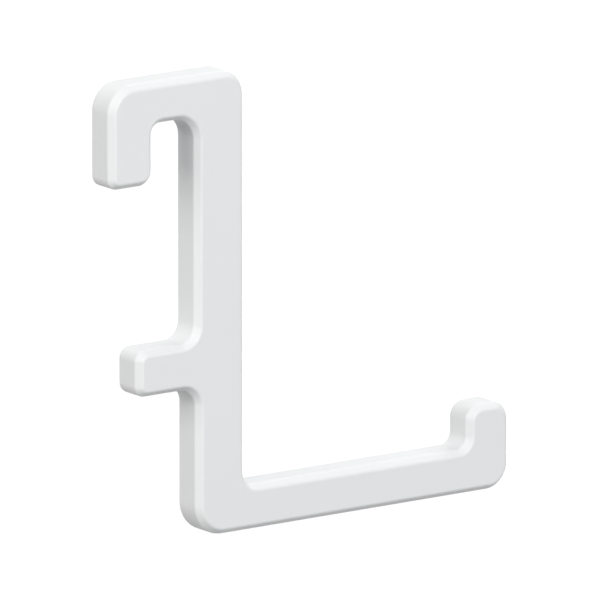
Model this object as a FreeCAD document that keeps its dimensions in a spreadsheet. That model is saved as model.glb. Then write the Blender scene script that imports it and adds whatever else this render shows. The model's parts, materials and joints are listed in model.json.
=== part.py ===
# Moulded pegboard hook: one flat bar of white plastic, bent in outline like an L and bevelled all round.
# At the top a short bridge passes through a slot of the board and ends in a prong that drops behind it.
# Lower down a peg enters the next slot, so that the hook can't swing. The arm carries the load and ends in a lip.
# Frame in millimetres: +X comes out of the board towards the user, +Z is up and Y runs across the thickness.
# The origin is the middle of the seat under the bridge, where the hook hangs on the lower edge of a slot.
import FreeCAD
import Part
import os

import Sketcher

# Driving sizes: alias, millimetres, meaning
SIZES = (
    ("board_thickness", 5.0, "board that the hook hangs on"),
    ("board_play", 0.75, "free play of the board between prong and stem"),
    ("slot_width", 5.0, "width of a slot of the board"),
    ("slot_play", 0.55, "free play of the hook across a slot"),
    ("slot_height", 15.0, "height of a slot of the board"),
    ("slot_pitch", 40.0, "distance from a slot to the one below it"),
    ("peg_play", 0.35, "free play between the top of the peg and its slot"),
    ("bridge_height", 4.74, "bridge above its seat"),
    ("prong_depth", 5.8, "prong from back to front"),
    ("prong_drop", 6.8, "prong below the seat"),
    ("peg_height", 5.25, "peg from top to bottom"),
    ("peg_reach", 7.93, "peg out of the back of the stem"),
    ("stem_depth", 6.57, "stem from back to front"),
    ("stem_below_peg", 16.9, "back of the stem below the peg"),
    ("foot_relief", 0.15, "back of the stem below the peg, set forward to stay clear of the board"),
    ("arm_height", 5.07, "arm from top to bottom"),
    ("arm_reach", 36.0, "arm and lip out of the front of the stem"),
    ("lip_depth", 5.6, "lip from back to front"),
    ("lip_rise", 4.77, "lip above the arm"),
    ("crown_radius", 3.1, "outer corner where the bridge turns down into the prong"),
    ("shoulder_radius", 3.0, "outer corner where the bridge meets the stem"),
    ("prong_root_radius", 1.2, "inner corner between bridge and prong"),
    ("stem_root_radius", 2.5, "inner corner between bridge and stem"),
    ("prong_tip_radius", 1.25, "free end of the prong, behind"),
    ("prong_lead_radius", 1.65, "free end of the prong, where it slips behind the board"),
    ("peg_tip_radius", 1.3, "free end of the peg"),
    ("peg_root_radius", 2.0, "inner corners where the peg leaves the stem"),
    ("heel_radius", 3.6, "outer corner where the stem turns into the arm"),
    ("toe_radius", 2.8, "outer corner where the arm turns into the lip"),
    ("lip_front_radius", 2.1, "free end of the lip, in front"),
    ("lip_back_radius", 1.8, "free end of the lip, behind"),
    ("lip_root_radius", 1.4, "inner corner between arm and lip"),
    ("arm_root_radius", 1.6, "inner corner between arm and stem"),
    ("bevel_inset", 0.6, "bevel round both faces, in from the wall"),
    ("bevel_depth", 0.78, "the same bevel down the wall, in from the face"),
    ("softness", 0.45, "rounding of the edges of the bevel"),
)

BOARD_GAP = "board_thickness + board_play"
THICKNESS = "slot_width - slot_play"
PEG_DROP = "slot_pitch - slot_height + peg_play"

# Sides of the outline, from the top of the prong round by the peg and the arm: name, heading, length as a sum
# of sizes, and the radius of the corner at its end. The last two sides close the outline, so they state no length.
OUTLINE = (
    ("prong_back", "down", "bridge_height + prong_drop", "prong_tip_radius"),
    ("prong_end", "out", "prong_depth", "prong_lead_radius"),
    ("prong_front", "up", "prong_drop", "prong_root_radius"),
    ("seat", "out", BOARD_GAP, "stem_root_radius"),
    ("stem_back", "down", PEG_DROP, "peg_root_radius"),
    ("peg_top", "in", "peg_reach", "peg_tip_radius"),
    ("peg_end", "down", "peg_height", "peg_tip_radius"),
    ("peg_underside", "out", "peg_reach + foot_relief", "peg_root_radius"),
    ("stem_foot", "down", "stem_below_peg", "heel_radius"),
    ("arm_underside", "out", "stem_depth - foot_relief + arm_reach", "toe_radius"),
    ("lip_front", "up", "arm_height + lip_rise", "lip_front_radius"),
    ("lip_top", "in", "lip_depth", "lip_back_radius"),
    ("lip_back", "down", "lip_rise", "lip_root_radius"),
    ("arm_top", "in", "arm_reach - lip_depth", "arm_root_radius"),
    ("stem_front", "up", None, "shoulder_radius"),
    ("bridge_top", "in", None, "crown_radius"),
)
HEADINGS = {"out": (1, 0), "in": (-1, 0), "up": (0, 1), "down": (0, -1)}
SIGNS = {"+": 1, "-": -1}
ORIGIN_POINT = (-1, 1)
START, END = 1, 2
PLANE_TOLERANCE = 1e-6


def write_sheet(document):
    """Puts the driving sizes in a spreadsheet and returns it."""
    sheet = document.addObject("Spreadsheet::Sheet", "Sizes")
    for row, (alias, value, meaning) in enumerate(SIZES, start=1):
        sheet.set("A%d" % row, meaning)
        sheet.set("B%d" % row, str(value))
        sheet.setAlias("B%d" % row, alias)
    document.recompute()
    return sheet


def formula(text):
    """The expression that reads a sum of sizes, such as 'slot_width - slot_play', from the sheet."""
    return " ".join(word if word in SIGNS else "Sizes." + word for word in text.split())


def amount(sheet, text):
    """The value of a sum of sizes in millimetres."""
    total, sign = 0.0, 1
    for word in text.split():
        if word in SIGNS:
            sign = SIGNS[word]
        else:
            total += sign * float(sheet.get(word))
    return total


def first_corners(sheet):
    """Where the sketch's corners are drawn before its constraints are solved."""
    back = -amount(sheet, BOARD_GAP) / 2 - amount(sheet, "prong_depth")
    top = amount(sheet, "bridge_height")
    point = FreeCAD.Vector(back, top, 0)
    corners = [point]
    for _name, heading, length, _radius in OUTLINE:
        if length:
            point = point + FreeCAD.Vector(*HEADINGS[heading], 0) * amount(sheet, length)
            corners.append(point)
    corners.append(FreeCAD.Vector(point.x, top, 0))
    return corners


def draw_outline(body, sheet):
    """The outline as a sketch of upright and level sides on the XZ plane, centred on the seat."""
    sketch = body.newObject("Sketcher::SketchObject", "Outline")
    plane = next(feature for feature in body.Origin.OriginFeatures if feature.Role == "XZ_Plane")
    sketch.AttachmentSupport = [(plane, "")]
    sketch.MapMode = "FlatFace"
    corners = first_corners(sheet)
    count = len(OUTLINE)
    sketch.addGeometry([Part.LineSegment(corners[i], corners[(i + 1) % count]) for i in range(count)], False)
    for side, (name, heading, length, _radius) in enumerate(OUTLINE):
        level = HEADINGS[heading][1] == 0
        sketch.addConstraint(Sketcher.Constraint("Coincident", side, END, (side + 1) % count, START))
        sketch.addConstraint(Sketcher.Constraint("Horizontal" if level else "Vertical", side))
        if name == "seat":
            sketch.addConstraint(Sketcher.Constraint("Symmetric", side, START, side, END, *ORIGIN_POINT))
        if length:
            first, last = (START, END) if sum(HEADINGS[heading]) > 0 else (END, START)
            kind = "DistanceX" if level else "DistanceY"
            index = sketch.addConstraint(
                Sketcher.Constraint(kind, side, first, side, last, amount(sheet, length))
            )
            sketch.renameConstraint(index, name)
            sketch.setExpression("Constraints." + name, formula(length))
    body.Document.recompute()
    return sketch


def pad_outline(body, sketch):
    """The bar: the outline given its thickness, half to each side of the XZ plane."""
    pad = body.newObject("PartDesign::Pad", "Bar")
    pad.Profile = sketch
    pad.SideType = "Symmetric"
    pad.setExpression("Length", formula(THICKNESS))
    body.Document.recompute()
    return pad


def edge_names(shape, wanted):
    """Names of the edges of a shape for which wanted(edge) is true."""
    return ["Edge%d" % number for number, edge in enumerate(shape.Edges, start=1) if wanted(edge)]


def crosses_bar_at(edge, corners):
    """True for an edge that runs across the thickness at one of the outline's corners."""
    first, last = edge.firstVertex().Point, edge.lastVertex().Point
    if abs(first.x - last.x) > PLANE_TOLERANCE or abs(first.z - last.z) > PLANE_TOLERANCE:
        return False
    return any(abs(first.x - x) < PLANE_TOLERANCE and abs(first.z - z) < PLANE_TOLERANCE for x, z in corners)


def lies_across_at(edge, places):
    """True for an edge that lies in a plane parallel to the faces, at one of these places across the thickness."""
    box = edge.BoundBox
    flat = box.YLength < PLANE_TOLERANCE
    return flat and any(abs(box.YMin - place) < PLANE_TOLERANCE for place in places)


def round_corners(body, sketch, base):
    """Rounds the corners of the outline, one feature for each radius."""
    ends = [sketch.getPoint(side, END) for side in range(len(OUTLINE))]
    for radius in dict.fromkeys(side[3] for side in OUTLINE):
        corners = [(end.x, end.y) for end, side in zip(ends, OUTLINE) if side[3] == radius]
        rounded = body.newObject("PartDesign::Fillet", "Round_" + radius)
        rounded.Base = (base, edge_names(base.Shape, lambda edge: crosses_bar_at(edge, corners)))
        rounded.setExpression("Radius", formula(radius))
        body.Document.recompute()
        base = rounded
    return base


def bevel_face(body, sheet, base, name, side):
    """The bevel that runs round one face, with its longer leg down the wall.

    A chamfer runs its first leg along the first of the two flats that meet at an edge. Where that is the face,
    no edge lies at the bevel's foot, and the chamfer is turned over.
    """
    face = side * amount(sheet, THICKNESS) / 2
    foot = face - side * amount(sheet, "bevel_depth")
    bevel = body.newObject("PartDesign::Chamfer", name)
    bevel.Base = (base, edge_names(base.Shape, lambda edge: lies_across_at(edge, (face,))))
    bevel.ChamferType = "Two distances"
    bevel.setExpression("Size", formula("bevel_depth"))
    bevel.setExpression("Size2", formula("bevel_inset"))
    body.Document.recompute()
    if not edge_names(bevel.Shape, lambda edge: lies_across_at(edge, (foot,))):
        bevel.FlipDirection = True
        body.Document.recompute()
    return bevel


def soften_bevels(body, sheet, base):
    """The rounding that a mould leaves on the edges of both bevels."""
    face = amount(sheet, THICKNESS) / 2
    foot = face - amount(sheet, "bevel_depth")
    softened = body.newObject("PartDesign::Fillet", "SoftEdges")
    softened.Base = (base, edge_names(base.Shape, lambda edge: lies_across_at(edge, (-face, -foot, foot, face))))
    softened.setExpression("Radius", formula("softness"))
    body.Document.recompute()
    return softened


def build_hook(document, sheet):
    """The whole hook, moulded in one piece."""
    body = document.addObject("PartDesign::Body", "Hook")
    body.Label = "hook"
    sketch = draw_outline(body, sheet)
    bar = pad_outline(body, sketch)
    rounded = round_corners(body, sketch, bar)
    front = bevel_face(body, sheet, rounded, "FrontBevel", -1)
    both = bevel_face(body, sheet, front, "BackBevel", 1)
    body.Tip = soften_bevels(body, sheet, both)
    document.recompute()
    return body


def export_part(document, body):
    """Stops on any failed object or bad solid, and otherwise writes the piece under its own name."""
    failed = [item.Name for item in document.Objects if {"Invalid", "Error"} & set(item.State)]
    if failed:
        raise RuntimeError("failed objects: " + ", ".join(failed))
    shape = body.Shape
    if shape.isNull() or not shape.isValid() or len(shape.Solids) != 1:
        raise RuntimeError("the hook isn't one valid solid")
    os.makedirs("parts", exist_ok=True)
    shape.exportStep(os.path.join("parts", body.Label + ".step"))
    box = shape.BoundBox
    print("%s: %.2f x %.2f x %.2f mm, %.1f mm3" % (body.Label, box.XLength, box.YLength, box.ZLength, shape.Volume))


document = FreeCAD.newDocument("PegboardHook")
sizes = write_sheet(document)
hook = build_hook(document, sizes)
export_part(document, hook)
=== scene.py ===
"""A moulded pegboard hook of white plastic, in its satin finish, with a plain white studio round it.

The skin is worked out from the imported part's own places: its box, the points where it meets the board, and
the rail of its arm. Lengths are in metres. +X comes out of the board, +Z is up and Y crosses the thickness.
"""
import json
import logging
import math
from dataclasses import dataclass
from enum import Enum

import bpy
import numpy as np
from mathutils import Matrix, Vector


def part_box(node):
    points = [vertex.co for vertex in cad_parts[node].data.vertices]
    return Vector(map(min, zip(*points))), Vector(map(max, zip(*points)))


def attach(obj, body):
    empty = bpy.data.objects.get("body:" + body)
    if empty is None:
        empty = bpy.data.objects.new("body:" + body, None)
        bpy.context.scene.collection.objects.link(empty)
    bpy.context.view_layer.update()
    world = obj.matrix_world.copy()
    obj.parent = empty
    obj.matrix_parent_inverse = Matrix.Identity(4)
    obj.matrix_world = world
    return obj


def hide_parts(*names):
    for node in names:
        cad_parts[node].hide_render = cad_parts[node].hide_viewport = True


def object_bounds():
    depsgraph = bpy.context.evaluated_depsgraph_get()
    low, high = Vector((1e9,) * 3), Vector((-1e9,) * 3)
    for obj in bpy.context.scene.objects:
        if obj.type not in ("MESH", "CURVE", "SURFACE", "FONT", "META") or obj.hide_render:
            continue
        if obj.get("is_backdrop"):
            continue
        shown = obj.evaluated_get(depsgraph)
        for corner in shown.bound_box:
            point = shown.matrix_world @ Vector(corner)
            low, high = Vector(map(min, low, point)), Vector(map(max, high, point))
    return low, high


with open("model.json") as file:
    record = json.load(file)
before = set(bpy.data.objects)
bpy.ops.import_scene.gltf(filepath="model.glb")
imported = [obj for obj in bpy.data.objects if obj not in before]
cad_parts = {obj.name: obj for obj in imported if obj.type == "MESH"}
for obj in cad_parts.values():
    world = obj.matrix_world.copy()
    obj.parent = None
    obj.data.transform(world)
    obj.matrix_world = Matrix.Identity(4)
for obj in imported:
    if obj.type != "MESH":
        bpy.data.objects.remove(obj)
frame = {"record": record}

log = logging.getLogger("pegboard_hook")

NODE = "hook"
BODY = "root"
MM = 0.001
PICTURE_SIDE = 600
SOFT_EDGES = 4
WHITE = (1.0, 1.0, 1.0)


class Turn(Enum):
    """Which way the outline turns at a corner, walked with the plastic on the left."""

    OUTER = 1
    INNER = -1


@dataclass(frozen=True)
class Corner:
    """One corner of the outline, where two sides would meet if it weren't rounded."""

    x: float
    z: float
    radius: float


@dataclass(frozen=True)
class HookSizes:
    """The hook's sizes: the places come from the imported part, and the rest are its own named values."""

    back: float
    end: float
    top: float
    bottom: float
    half_thickness: float
    stem_back: float
    prong_front: float
    rail: float
    peg_tip: float
    peg_middle: float
    peg_height: float = 5.25 * MM
    prong_drop: float = 6.8 * MM
    stem_depth: float = 6.57 * MM
    foot_relief: float = 0.15 * MM
    lip_depth: float = 5.6 * MM
    lip_rise: float = 4.77 * MM
    crown_radius: float = 3.1 * MM
    shoulder_radius: float = 3.0 * MM
    prong_root_radius: float = 1.2 * MM
    stem_root_radius: float = 2.5 * MM
    prong_tip_radius: float = 1.25 * MM
    prong_lead_radius: float = 1.65 * MM
    peg_tip_radius: float = 1.3 * MM
    peg_root_radius: float = 2.0 * MM
    heel_radius: float = 3.6 * MM
    toe_radius: float = 2.8 * MM
    lip_front_radius: float = 2.1 * MM
    lip_back_radius: float = 1.8 * MM
    lip_root_radius: float = 1.4 * MM
    arm_root_radius: float = 1.6 * MM
    bevel_inset: float = 0.6 * MM
    bevel_depth: float = 0.78 * MM
    softness: float = 0.45 * MM

    @classmethod
    def from_frame(cls) -> "HookSizes":
        """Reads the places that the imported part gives.

        Returns:
            The sizes of the hook in metres.
        """
        low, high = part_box(NODE)
        mounts = {mount["name"]: mount["pos_m"] for mount in frame["record"]["mounts"]}
        return cls(
            back=low[0],
            end=high[0],
            top=high[2],
            bottom=low[2],
            half_thickness=(high[1] - low[1]) / 2,
            stem_back=mounts["board_front"][0],
            prong_front=mounts["board_back"][0],
            rail=mounts["load_rail"][2],
            peg_tip=mounts["peg"][0],
            peg_middle=mounts["peg"][2],
        )

    def corners(self) -> list[Corner]:
        """The outline's corners, down the prong and round by the peg, the arm and the lip.

        Returns:
            The corners in order, with the plastic on the left of the walk.
        """
        stem_front = self.stem_back + self.stem_depth
        foot_back = self.stem_back + self.foot_relief
        lip_back = self.end - self.lip_depth
        lip_top = self.rail + self.lip_rise
        peg_top = self.peg_middle + self.peg_height / 2
        peg_bottom = self.peg_middle - self.peg_height / 2
        return [
            Corner(self.back, self.top, self.crown_radius),
            Corner(self.back, -self.prong_drop, self.prong_tip_radius),
            Corner(self.prong_front, -self.prong_drop, self.prong_lead_radius),
            Corner(self.prong_front, 0.0, self.prong_root_radius),
            Corner(self.stem_back, 0.0, self.stem_root_radius),
            Corner(self.stem_back, peg_top, self.peg_root_radius),
            Corner(self.peg_tip, peg_top, self.peg_tip_radius),
            Corner(self.peg_tip, peg_bottom, self.peg_tip_radius),
            Corner(foot_back, peg_bottom, self.peg_root_radius),
            Corner(foot_back, self.bottom, self.heel_radius),
            Corner(self.end, self.bottom, self.toe_radius),
            Corner(self.end, lip_top, self.lip_front_radius),
            Corner(lip_back, lip_top, self.lip_back_radius),
            Corner(lip_back, self.rail, self.lip_root_radius),
            Corner(stem_front, self.rail, self.arm_root_radius),
            Corner(stem_front, self.top, self.shoulder_radius),
        ]


@dataclass(frozen=True)
class Outline:
    """The path that the bevel is carried along: the corners joined by straight sides and round arcs."""

    corners: list[Corner]
    arc_steps: int = 12
    side_steps: int = 12

    def walk(self) -> tuple[np.ndarray, np.ndarray]:
        """Points along the path, with the way out of the plastic at each.

        An arc of radius r round a centre c has the points c + s r n, where n turns evenly from the outward
        direction of the side before to that of the side after, and s is 1 at an outer corner and -1 at an
        inner one. Between two arcs the points lie evenly along the side.

        Returns:
            The points and the outward directions, both as rows of x and z.
        """
        place = np.array([(corner.x, corner.z) for corner in self.corners])
        radius = np.array([corner.radius for corner in self.corners])[:, None]
        before = place - np.roll(place, 1, axis=0)
        before /= np.linalg.norm(before, axis=1, keepdims=True)
        after = np.roll(before, -1, axis=0)
        out_before = np.stack([before[:, 1], -before[:, 0]], axis=1)
        out_after = np.stack([after[:, 1], -after[:, 0]], axis=1)
        turn = (before[:, 0] * after[:, 1] - before[:, 1] * after[:, 0])[:, None]
        sign = np.where(turn > 0, Turn.OUTER.value, Turn.INNER.value)
        centre = place - sign * radius * (out_before + out_after)

        share = np.linspace(0.0, 1.0, self.arc_steps + 1)[None, :, None] * math.pi / 2
        arc_out = np.cos(share) * out_before[:, None] + np.sin(share) * out_after[:, None]
        arc = centre[:, None] + (sign * radius)[:, None] * arc_out

        share = np.linspace(0.0, 1.0, self.side_steps + 1)[None, 1:-1, None]
        leave, arrive = arc[:, -1:], np.roll(arc[:, :1], -1, axis=0)
        side = leave + (arrive - leave) * share
        side_out = np.broadcast_to(out_after[:, None], side.shape)

        points = np.concatenate([arc, side], axis=1).reshape(-1, 2)
        outward = np.concatenate([arc_out, side_out], axis=1).reshape(-1, 2)
        return points, outward


@dataclass(frozen=True)
class BevelSection:
    """The hook's edge cut across: a flat face, a soft-edged bevel, the wall, and the same again behind."""

    half_thickness: float
    inset: float
    depth: float
    softness: float
    soft_steps: int = 6

    def cut(self) -> tuple[np.ndarray, np.ndarray]:
        """The section from the front face to the back face.

        A soft edge of radius s between two flats that turn by an angle t begins s tan(t / 2) before the
        sharp edge. The bevel leans by the angle whose tangent is its depth over its inset. The soft edge at
        the rim turns from the face to that lean, the one at the wall turns on to upright, and the back half
        is the front half mirrored.

        Returns:
            Rows of depth in from the wall and place across the thickness, and rows of the same two
            directions for the outward normal.
        """
        lean = math.atan2(self.depth, self.inset)
        upright = math.pi / 2
        rim_reach = self.softness * math.tan(lean / 2)
        wall_reach = self.softness * math.tan((upright - lean) / 2)
        rim_centre = np.array([self.inset + rim_reach, -self.half_thickness + self.softness])
        wall_centre = np.array([self.softness, -self.half_thickness + self.depth + wall_reach])
        rim, rim_normal = self._soft_edge(rim_centre, 0.0, lean)
        wall, wall_normal = self._soft_edge(wall_centre, lean, upright)
        front = np.concatenate([rim, wall])
        front_normal = np.concatenate([rim_normal, wall_normal])
        mirror = np.array([1.0, -1.0])
        section = np.concatenate([front, front[::-1] * mirror])
        normal = np.concatenate([front_normal, front_normal[::-1] * mirror])
        return section, normal

    def _soft_edge(self, centre: np.ndarray, start: float, end: float) -> tuple[np.ndarray, np.ndarray]:
        """One soft edge: the arc c - s (sin a, cos a) of radius s round the centre c, for the angles a.

        Args:
            centre: its centre, as depth in from the wall and place across the thickness.
            start: the angle at which it leaves one flat.
            end: the angle at which it meets the next.

        Returns:
            Rows of its points, and rows of their outward normals.
        """
        angles = np.linspace(start, end, self.soft_steps + 1)
        normal = -np.stack([np.sin(angles), np.cos(angles)], axis=1)
        return centre + self.softness * normal, normal


@dataclass(frozen=True)
class WhitePlastic:
    """Satin white moulded plastic.

    It has the fine grain of a spark-eroded mould, faint clouds from its flow, and edges rubbed smoother.
    """

    name: str = "white_plastic"
    colour: tuple[float, float, float] = (0.790, 0.803, 0.812)
    cloud: float = 0.012
    cloud_scale: float = 90.0
    cloud_detail: float = 3.0
    roughness: float = 0.46
    roughness_swing: float = 0.06
    roughness_detail: float = 2.0
    rub: float = 0.10
    grain_scale: float = 5200.0
    grain_height: float = 0.004 * MM
    grain_detail: float = 2.0
    ripple_scale: float = 260.0
    ripple_height: float = 0.02 * MM
    ripple_detail: float = 1.0
    ior: float = 1.49

    def build(self) -> bpy.types.Material:
        """Makes the node material.

        Returns:
            The finished material.
        """
        material = bpy.data.materials.new(self.name)
        material.use_nodes = True
        tree = material.node_tree
        shader = tree.nodes["Principled BSDF"]
        shader.inputs["IOR"].default_value = self.ior
        place = tree.nodes.new("ShaderNodeTexCoord").outputs["Object"]
        self._colour(tree, place, shader)
        self._roughness(tree, place, shader)
        self._relief(tree, place, shader)
        return material

    @staticmethod
    def _noise(
        tree: bpy.types.NodeTree, place: bpy.types.NodeSocket, scale: float, detail: float
    ) -> bpy.types.NodeSocket:
        """Adds a noise pattern.

        Args:
            tree: the material's node tree.
            place: the socket of the piece's own coordinates.
            scale: how fine the pattern is, in cells to the metre.
            detail: how many finer layers lie over it.

        Returns:
            The pattern's value socket.
        """
        noise = tree.nodes.new("ShaderNodeTexNoise")
        noise.inputs["Scale"].default_value = scale
        noise.inputs["Detail"].default_value = detail
        tree.links.new(place, noise.inputs["Vector"])
        return noise.outputs["Fac"]

    def _colour(
        self, tree: bpy.types.NodeTree, place: bpy.types.NodeSocket, shader: bpy.types.ShaderNode
    ) -> None:
        """Faint clouds where the plastic flowed together.

        Args:
            tree: the material's node tree.
            place: the socket of the piece's own coordinates.
            shader: the plastic's own shader.
        """
        ramp = tree.nodes.new("ShaderNodeValToRGB")
        for stop, step in zip(ramp.color_ramp.elements, (1.0 - self.cloud, 1.0 + self.cloud)):
            stop.color = (*(channel * step for channel in self.colour), 1.0)
        tree.links.new(self._noise(tree, place, self.cloud_scale, self.cloud_detail), ramp.inputs["Fac"])
        tree.links.new(ramp.outputs["Color"], shader.inputs["Base Color"])

    def _roughness(
        self, tree: bpy.types.NodeTree, place: bpy.types.NodeSocket, shader: bpy.types.ShaderNode
    ) -> None:
        """Satin that varies gently and is rubbed smoother along the soft edges.

        Args:
            tree: the material's node tree.
            place: the socket of the piece's own coordinates.
            shader: the plastic's own shader.
        """
        swing = tree.nodes.new("ShaderNodeMapRange")
        swing.inputs["To Min"].default_value = self.roughness - self.roughness_swing
        swing.inputs["To Max"].default_value = self.roughness + self.roughness_swing
        pattern = self._noise(tree, place, self.ripple_scale, self.roughness_detail)
        tree.links.new(pattern, swing.inputs["Value"])
        rubbed = tree.nodes.new("ShaderNodeAttribute")
        rubbed.attribute_name = "soft_edge"
        less = tree.nodes.new("ShaderNodeMath")
        less.operation = "MULTIPLY_ADD"
        less.inputs[1].default_value = -self.rub
        tree.links.new(rubbed.outputs["Fac"], less.inputs[0])
        tree.links.new(swing.outputs["Result"], less.inputs[2])
        tree.links.new(less.outputs["Value"], shader.inputs["Roughness"])

    def _relief(
        self, tree: bpy.types.NodeTree, place: bpy.types.NodeSocket, shader: bpy.types.ShaderNode
    ) -> None:
        """The mould's fine grain over the long shallow ripple of a cooled flat face.

        Args:
            tree: the material's node tree.
            place: the socket of the piece's own coordinates.
            shader: the plastic's own shader.
        """
        previous = None
        for scale, height, detail in (
            (self.ripple_scale, self.ripple_height, self.ripple_detail),
            (self.grain_scale, self.grain_height, self.grain_detail),
        ):
            bump = tree.nodes.new("ShaderNodeBump")
            bump.inputs["Distance"].default_value = height
            tree.links.new(self._noise(tree, place, scale, detail), bump.inputs["Height"])
            if previous:
                tree.links.new(previous.outputs["Normal"], bump.inputs["Normal"])
            previous = bump
        tree.links.new(previous.outputs["Normal"], shader.inputs["Normal"])


@dataclass(frozen=True)
class MouldedHook:
    """The hook's one piece: its bevelled edge carried round the outline, closed by the two flat faces."""

    sizes: HookSizes
    finish: WhitePlastic

    def build(self) -> bpy.types.Object:
        """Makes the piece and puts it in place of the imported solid.

        A point of the edge is p - d n across and y through the thickness, where p is a point of the outline,
        n its outward direction, and d and y come from the section. Its normal is the section's, with the
        part that points out of the wall turned along n. The two faces are the grid's first and last rims.

        Returns:
            The finished piece.
        """
        points, outward = Outline(self.sizes.corners()).walk()
        section, section_normal = BevelSection(
            self.sizes.half_thickness, self.sizes.bevel_inset, self.sizes.bevel_depth, self.sizes.softness
        ).cut()
        across = points[:, None] - section[None, :, :1] * outward[:, None]
        through = np.broadcast_to(section[None, :, 1:], across[..., :1].shape)
        grid = np.concatenate([across[..., :1], through, across[..., 1:]], axis=2)
        sideways = -section_normal[None, :, :1] * outward[:, None]
        facing = np.broadcast_to(section_normal[None, :, 1:], sideways[..., :1].shape)
        normals = np.concatenate([sideways[..., :1], facing, sideways[..., 1:]], axis=2)

        rows, columns = grid.shape[:2]
        mesh = bpy.data.meshes.new(NODE)
        mesh.from_pydata(grid.reshape(-1, 3).tolist(), [], self._faces(rows, columns))
        mesh.polygons.foreach_set("use_smooth", np.ones(len(mesh.polygons), dtype=bool))
        mesh.normals_split_custom_set_from_vertices(normals.reshape(-1, 3).tolist())
        self._mark_soft_edges(mesh, rows, columns)
        mesh.materials.append(self.finish.build())
        piece = bpy.data.objects.new("moulded_hook", mesh)
        bpy.context.scene.collection.objects.link(piece)
        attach(piece, BODY)
        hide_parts(NODE)
        return piece

    @staticmethod
    def _faces(rows: int, columns: int) -> list[list[int]]:
        """The quads of the edge and the two flat faces, all turned outwards.

        Args:
            rows: number of points round the outline.
            columns: number of points of the section.

        Returns:
            The corner numbers of each face.
        """
        index = np.arange(rows * columns).reshape(rows, columns)
        onward = np.roll(index, -1, axis=0)
        quads = np.stack([index[:, :-1], index[:, 1:], onward[:, 1:], onward[:, :-1]], axis=2)
        faces = quads.reshape(-1, 4).tolist()
        faces.append(index[:, 0].tolist())
        faces.append(index[::-1, -1].tolist())
        return faces

    @staticmethod
    def _mark_soft_edges(mesh: bpy.types.Mesh, rows: int, columns: int) -> None:
        """Stores how far each point is in the middle of a soft edge, where hands and boards rub.

        Args:
            mesh: the hook's mesh.
            rows: number of points round the outline.
            columns: number of points of the section.
        """
        steps = columns // SOFT_EDGES
        bump = np.sin(np.linspace(0.0, math.pi, steps)) ** 2
        mark = np.tile(bump, SOFT_EDGES)
        layer = mesh.attributes.new("soft_edge", "FLOAT", "POINT")
        layer.data.foreach_set("value", np.tile(mark, rows).astype(np.float32))


@dataclass(frozen=True)
class Softbox:
    """A square lamp that faces the hook."""

    name: str
    place: tuple[float, float, float]
    side: float
    power: float
    tint: tuple[float, float, float] = WHITE

    def build(self, target: Vector) -> None:
        """Makes the lamp at its place from the target, and turns it to face it.

        Args:
            target: the point that it faces.
        """
        lamp = bpy.data.lights.new(self.name, "AREA")
        lamp.size = self.side
        lamp.energy = self.power
        lamp.color = self.tint
        holder = bpy.data.objects.new(self.name, lamp)
        holder.location = target + Vector(self.place)
        holder.rotation_euler = (target - holder.location).to_track_quat("-Z", "Y").to_euler()
        bpy.context.scene.collection.objects.link(holder)


@dataclass(frozen=True)
class Camera:
    """The camera at the photograph's viewing angle, with a long lens as the photograph has.

    The aim is a point on the hook, and its column and row are where the picture shows it.
    """

    azimuth: float = 35.66
    elevation: float = 13.03
    distance: float = 3.0
    pixels_per_metre: float = 9080.1
    aim: tuple[float, float, float] = (0.015958, 0.0, -0.018689)
    aim_column: float = 282.50
    aim_row: float = 265.09
    sensor: float = 36.0
    nearest: float = 0.01
    farthest: float = 20.0

    def build(self) -> None:
        """Makes the camera, with a small shift that puts the aim on its column and row."""
        turn, tilt = math.radians(self.azimuth), math.radians(self.elevation)
        forward = Vector((math.sin(turn) * math.cos(tilt), math.cos(turn) * math.cos(tilt), -math.sin(tilt)))
        right = Vector((math.cos(turn), -math.sin(turn), 0.0))
        up = right.cross(forward)
        axes = Matrix((right, up, -forward)).transposed().to_4x4()
        lens = bpy.data.cameras.new("camera")
        lens.sensor_width = self.sensor
        lens.lens = self.pixels_per_metre * self.distance * self.sensor / PICTURE_SIDE
        lens.shift_x = (PICTURE_SIDE / 2 - self.aim_column) / PICTURE_SIDE
        lens.shift_y = (self.aim_row - PICTURE_SIDE / 2) / PICTURE_SIDE
        lens.clip_start, lens.clip_end = self.nearest, self.farthest
        holder = bpy.data.objects.new("camera", lens)
        holder.matrix_world = Matrix.Translation(Vector(self.aim) - forward * self.distance) @ axes
        bpy.context.scene.collection.objects.link(holder)
        bpy.context.scene.camera = holder


def shows_background(tree: bpy.types.NodeTree) -> bpy.types.NodeSocket:
    """A value that is 1 for the rays that should find the plain white background, and 0 for all others.

    Args:
        tree: the node tree to add the nodes to.

    Returns:
        The value's socket: the largest of Is Camera Ray, Is Glossy Ray and Is Transmission Ray.
    """
    path = tree.nodes.new("ShaderNodeLightPath")
    seen = path.outputs["Is Camera Ray"]
    for kind in ("Is Glossy Ray", "Is Transmission Ray"):
        larger = tree.nodes.new("ShaderNodeMath")
        larger.operation = "MAXIMUM"
        tree.links.new(seen, larger.inputs[0])
        tree.links.new(path.outputs[kind], larger.inputs[1])
        seen = larger.outputs["Value"]
    return seen


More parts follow.
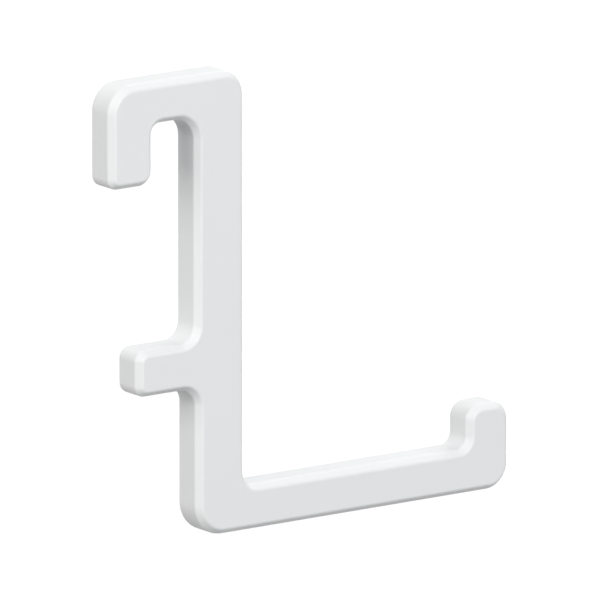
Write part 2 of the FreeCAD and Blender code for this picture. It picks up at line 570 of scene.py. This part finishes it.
@dataclass(frozen=True)
class Studio:
    """A pale floor well below the hook, white surroundings and soft lamps, each placed from the hook."""

    floor_drop: float = 0.12
    floor_side: float = 6.0
    floor_grey: float = 0.16
    floor_glow: float = 0.9
    floor_roughness: float = 0.9
    sky: float = 0.32
    lamps: tuple[Softbox, ...] = (
        Softbox("front_softbox", (0.0, -1.0, 0.1), 0.9, 8.1),
        Softbox("left_softbox", (-1.0, 0.0, 0.25), 0.8, 4.95, (1.0, 0.985, 0.955)),
        Softbox("left_top_softbox", (-0.5, -0.6, 0.7), 0.6, 2.45),
        Softbox("right_top_softbox", (0.6, 0.0, 0.8), 0.7, 1.4),
        Softbox("back_top_softbox", (0.0, 0.6, 0.6), 0.7, 1.6),
        Softbox("right_back_softbox", (0.7, 0.5, 0.6), 0.7, 2.4),
    )

    def build(self, low: Vector, high: Vector) -> None:
        """Makes the floor, the world and the lamps.

        Args:
            low: lowest corner of the hook.
            high: highest corner of the hook.
        """
        middle = (low + high) / 2
        self._floor(low.z - self.floor_drop, middle)
        self._world()
        for lamp in self.lamps:
            lamp.build(middle)

    def _floor(self, level: float, middle: Vector) -> None:
        """A square floor, white in the picture, that bounces only the light of grey card.

        Args:
            level: height of the floor.
            middle: the middle of the hook.
        """
        half = self.floor_side / 2
        ends = np.array([(-half, -half), (half, -half), (half, half), (-half, half)])
        ends += np.array([middle.x, middle.y])
        mesh = bpy.data.meshes.new("floor")
        mesh.from_pydata(np.column_stack([ends, np.full(4, level)]).tolist(), [], [[0, 1, 2, 3]])
        mesh.materials.append(self._white_ground())
        floor = bpy.data.objects.new("floor", mesh)
        bpy.context.scene.collection.objects.link(floor)
        floor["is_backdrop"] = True

    def _white_ground(self) -> bpy.types.Material:
        """Grey card that keeps the hook's shadow, with a glow on top that only the picture sees.

        Returns:
            The floor's material.
        """
        material = bpy.data.materials.new("white_ground")
        material.use_nodes = True
        tree = material.node_tree
        card = tree.nodes["Principled BSDF"]
        card.inputs["Base Color"].default_value = (self.floor_grey, self.floor_grey, self.floor_grey, 1.0)
        card.inputs["Roughness"].default_value = self.floor_roughness
        card.inputs["Specular IOR Level"].default_value = 0.0
        strength = tree.nodes.new("ShaderNodeMath")
        strength.operation = "MULTIPLY"
        strength.inputs[1].default_value = self.floor_glow
        glow = tree.nodes.new("ShaderNodeEmission")
        both = tree.nodes.new("ShaderNodeAddShader")
        tree.links.new(shows_background(tree), strength.inputs[0])
        tree.links.new(strength.outputs["Value"], glow.inputs["Strength"])
        tree.links.new(card.outputs["BSDF"], both.inputs[0])
        tree.links.new(glow.outputs["Emission"], both.inputs[1])
        tree.links.new(both.outputs["Shader"], tree.nodes["Material Output"].inputs["Surface"])
        return material

    def _world(self) -> None:
        """Even light from all round, seen by the camera as white."""
        world = bpy.data.worlds.new("white_studio")
        world.use_nodes = True
        tree = world.node_tree
        light = tree.nodes["Background"]
        light.inputs["Color"].default_value = (*WHITE, 1.0)
        light.inputs["Strength"].default_value = self.sky
        white = tree.nodes.new("ShaderNodeBackground")
        white.inputs["Color"].default_value = (*WHITE, 1.0)
        mix = tree.nodes.new("ShaderNodeMixShader")
        tree.links.new(shows_background(tree), mix.inputs["Fac"])
        tree.links.new(light.outputs["Background"], mix.inputs[1])
        tree.links.new(white.outputs["Background"], mix.inputs[2])
        tree.links.new(mix.outputs["Shader"], tree.nodes["World Output"].inputs["Surface"])
        bpy.context.scene.world = world


def main() -> None:
    """Builds the hook and its studio in order."""
    logging.basicConfig(level=logging.INFO, format="%(name)s: %(message)s")
    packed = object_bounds()
    sizes = HookSizes.from_frame()
    piece = MouldedHook(sizes, WhitePlastic()).build()
    log.info("%s: %d faces", piece.name, len(piece.data.polygons))
    bpy.context.view_layer.update()
    Studio().build(*packed)
    Camera().build()
    bpy.context.scene.view_settings.view_transform = "Standard"


if __name__ == "__main__":
    main()
